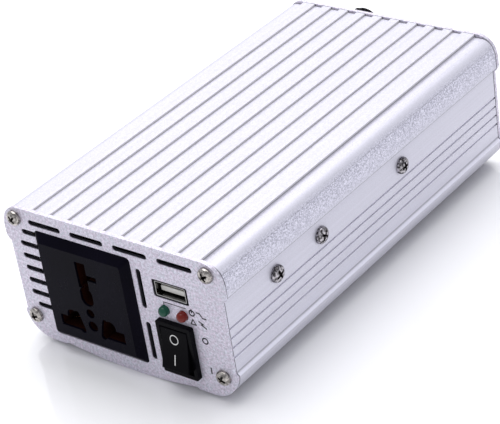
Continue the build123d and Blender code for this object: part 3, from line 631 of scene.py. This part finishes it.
def place_screws(name, mesh, matrices, material, node):
    """One piece made of several copies of a screw, standing for a CAD node."""
    bm = bmesh.new()
    for matrix in matrices:
        copy = mesh.copy()
        copy.transform(matrix)
        bm.from_mesh(copy)
        bpy.data.meshes.remove(copy)
    screws = new_object(name, mesh_from(name, bm), material)
    add_weighted_normals(screws)
    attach(screws, "case")
    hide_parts(node)


def add_screws():
    steel = MATERIALS["screw_steel"]
    plate_screw = cross_head(2.9, 2.1, 9.0)
    side_screw = cross_head(3.2, 2.1, 8.0)
    fan_screw = cross_head(2.9, 1.9, 11.0)
    corners = [(-PLATE_SCREW_X, PLATE_SCREW_LOW, 12), (-PLATE_SCREW_X, PLATE_SCREW_HIGH, 40),
               (PLATE_SCREW_X, PLATE_SCREW_LOW, 65), (PLATE_SCREW_X, PLATE_SCREW_HIGH, 25)]
    front = [at(x, FRONT_Y, z, turn) for x, z, turn in corners]
    place_screws("front_screw_heads", plate_screw, front, steel, "front_screws")
    rear = [at(x, REAR_Y, z, turn + 20, "rear") for x, z, turn in corners]
    place_screws("rear_screw_heads", plate_screw, rear, steel, "rear_screws")
    sides = [at(side * SIDE_SCREW_X, FRONT_Y + depth, SIDE_SCREW_Z, turn, "right" if side > 0 else "left")
             for side in (-1, 1) for depth, turn in zip(SIDE_SCREW_DEPTHS, (20, 52, 5))]
    place_screws("side_screw_heads", side_screw, sides, SHADED_SCREW_STEEL, "side_screws")
    fan = [at(FAN_X + i * FAN_SCREW_SPACING, REAR_Y, FAN_Z + j * FAN_SCREW_SPACING, 30 * i + 15 * j, "rear")
           for i in (-1, 1) for j in (-1, 1)]
    place_screws("fan_screw_heads", fan_screw, fan, steel, "fan_screws")


# ---------------------------------------------------------------- printed marks
def circle_points(x, y, radius, steps):
    angles = [2 * math.pi * index / steps for index in range(steps)]
    return [(x + radius * math.cos(a), y + radius * math.sin(a)) for a in angles]


def stroke(points, width, closed=False):
    """Outlines of a drawn line with round ends and corners: a strip for each run, a disc on each point."""
    outlines = []
    ends = points[1:] + points[:1] if closed else points[1:]
    for (x0, y0), (x1, y1) in zip(points, ends):
        length = math.hypot(x1 - x0, y1 - y0)
        nx, ny = -(y1 - y0) / length * width / 2, (x1 - x0) / length * width / 2
        outlines.append([(x0 + nx, y0 + ny), (x1 + nx, y1 + ny), (x1 - nx, y1 - ny), (x0 - nx, y0 - ny)])
    return outlines + [circle_points(x, y, width / 2, 16) for x, y in points]


def ring(x, y, radius, width):
    return stroke(circle_points(x, y, radius, 40), width, True)


def level(height):
    """A flat top or bottom for a prism."""
    return lambda x, y: height


def hollow(lift):
    """A top or bottom for a prism that lies this far above the rocker's hollow face."""
    return lambda x, y: ROCKER_FACE + ROCKER_HOLLOW * (y / ROCKER_HALF_LENGTH) ** 2 + lift


def add_marks(name, bm, material, body):
    bmesh.ops.recalc_face_normals(bm, faces=bm.faces)
    marks = new_object(name, mesh_from(name, bm, False), material)
    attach(marks, body)


def print_on_plate(name, outlines, place):
    """Ink standing a fiftieth of a millimetre off a plate."""
    bm = bmesh.new()
    for outline in outlines:
        prism(bm, outline, place, level(-0.01), level(0.02))
    add_marks(name, bm, BLACK_INK, "case")


def lamp_and_switch_marks():
    """Line, power, wave, warning and bolt beside the lamps, and circle and bar beside the switch."""
    marks = stroke([(21.1, 33.9), (21.2, 34.9), (30.6, 34.9)], 0.34)
    marks += ring(33.0, 33.8, 1.05, 0.5) + stroke([(33.0, 34.0), (33.0, 35.2)], 0.55)
    marks += stroke([(35.2, 34.6), (36.4, 34.6), (37.4, 33.0), (38.9, 33.0)], 0.55)
    marks += stroke([(31.9, 29.3), (34.1, 29.3), (33.0, 31.3)], 0.5, True)
    marks += stroke([(35.6, 31.2), (37.2, 30.5), (36.4, 30.1), (38.4, 29.1)], 0.55)
    marks += ring(36.8, 23.7, 1.1, 0.5)
    marks += stroke([(37.2, 10.6), (37.2, 12.8)], 0.6)
    print_on_plate("panel_marks", marks, at(0, FRONT_Y, 0))


def pole_marks():
    """Minus and plus beside the terminals; the rear plate's drawing plane has Z downward."""
    minus = stroke([(-40.6, -37.0), (-38.0, -37.0)], 0.6)
    plus = stroke([(-40.6, -17.4), (-38.0, -17.4)], 0.6) + stroke([(-39.3, -18.7), (-39.3, -16.1)], 0.6)
    print_on_plate("pole_marks", minus + plus, at(0, REAR_Y, 0, 0, "rear"))


def rocker_marks():
    """White circle and bar that follow the rocker's hollow face."""
    pivot = Matrix.Translation(Vector((SWITCH_X, ROCKER_PIVOT_Y, SWITCH_Z)) * MM)
    place = pivot @ Matrix.Rotation(math.radians(-ROCKER_TILT), 4, "X") @ FACING["front"]
    bm = bmesh.new()
    for outline in ring(0, 3.9, 1.7, 0.36):
        prism(bm, outline, place, hollow(-0.1), hollow(0.03))
    for outline in stroke([(0.0, -5.5), (0.0, -1.9)], 0.36):
        prism(bm, outline, place, hollow(-0.1), hollow(0.035))
    add_marks("rocker_marks", bm, WHITE_INK, "rocker")


# ---------------------------------------------------------------- camera, light, floor
LIT_POINT = Vector((0, 0, 0.03))            # metres
FLOOR_LEVEL = -0.00005                      # just clear of the tray's underside, metres


def add_camera():
    """Long lens, from the front right and above, and rolled a little; angles in radians."""
    azimuth, elevation, roll = 0.725721, 0.538732, -0.161324
    back = Vector((math.sin(azimuth) * math.cos(elevation), -math.cos(azimuth) * math.cos(elevation),
                   math.sin(elevation)))
    right = (-back).cross(Vector((0, 0, 1))).normalized()
    up = right.cross(-back)
    rolled_right = math.cos(roll) * right + math.sin(roll) * up
    rolled_up = math.cos(roll) * up - math.sin(roll) * right
    data = bpy.data.cameras.new("camera")
    data.lens = 136.64
    data.sensor_width = 36
    data.clip_start = 0.01
    camera = bpy.data.objects.new("camera", data)
    bpy.context.scene.collection.objects.link(camera)
    place = Matrix.Translation(Vector((395.84, FRONT_Y - 372.4333, 378.8936)) * MM)
    camera.matrix_world = place @ Matrix((rolled_right, rolled_up, back)).transposed().to_4x4()
    bpy.context.scene.camera = camera


def add_softbox(name, size, place, power):
    """Rectangular light that faces the part; sizes and places in metres, power in watts."""
    data = bpy.data.lights.new(name, "AREA")
    data.shape = "RECTANGLE"
    data.size, data.size_y = size
    data.energy = power
    light = bpy.data.objects.new(name, data)
    bpy.context.scene.collection.objects.link(light)
    direction = LIT_POINT - Vector(place)
    turn = direction.to_track_quat("-Z", "Y").to_matrix().to_4x4()
    light.matrix_world = Matrix.Translation(Vector(place)) @ turn


def add_floor():
    g = Graph("studio_floor")
    tone = g.blend(g.noise(3), (0.93, 0.93, 0.935), (0.95, 0.95, 0.955))
    g.surface(tone, 0.1)
    bm = bmesh.new()
    bmesh.ops.create_grid(bm, x_segments=2, y_segments=2, size=3.0)
    ground = new_object("studio_floor", mesh_from("studio_floor", bm, False), g.material)
    ground.location.z = FLOOR_LEVEL


def add_world():
    world = bpy.data.worlds.new("studio")
    world.use_nodes = True
    background = world.node_tree.nodes["Background"]
    background.inputs["Color"].default_value = (0.93, 0.94, 1.0, 1)
    background.inputs["Strength"].default_value = 0.68
    bpy.context.scene.world = world


dress_nodes()
add_screws()
lamp_and_switch_marks()
pole_marks()
rocker_marks()
add_camera()
add_floor()
add_world()
add_softbox("overhead", (1.1, 1.1), (-0.15, 0.15, 1.0), 9.5)
add_softbox("far_left", (0.9, 0.7), (-0.75, 0.75, 0.75), 2.6)
bpy.context.scene.view_settings.view_transform = "Standard"
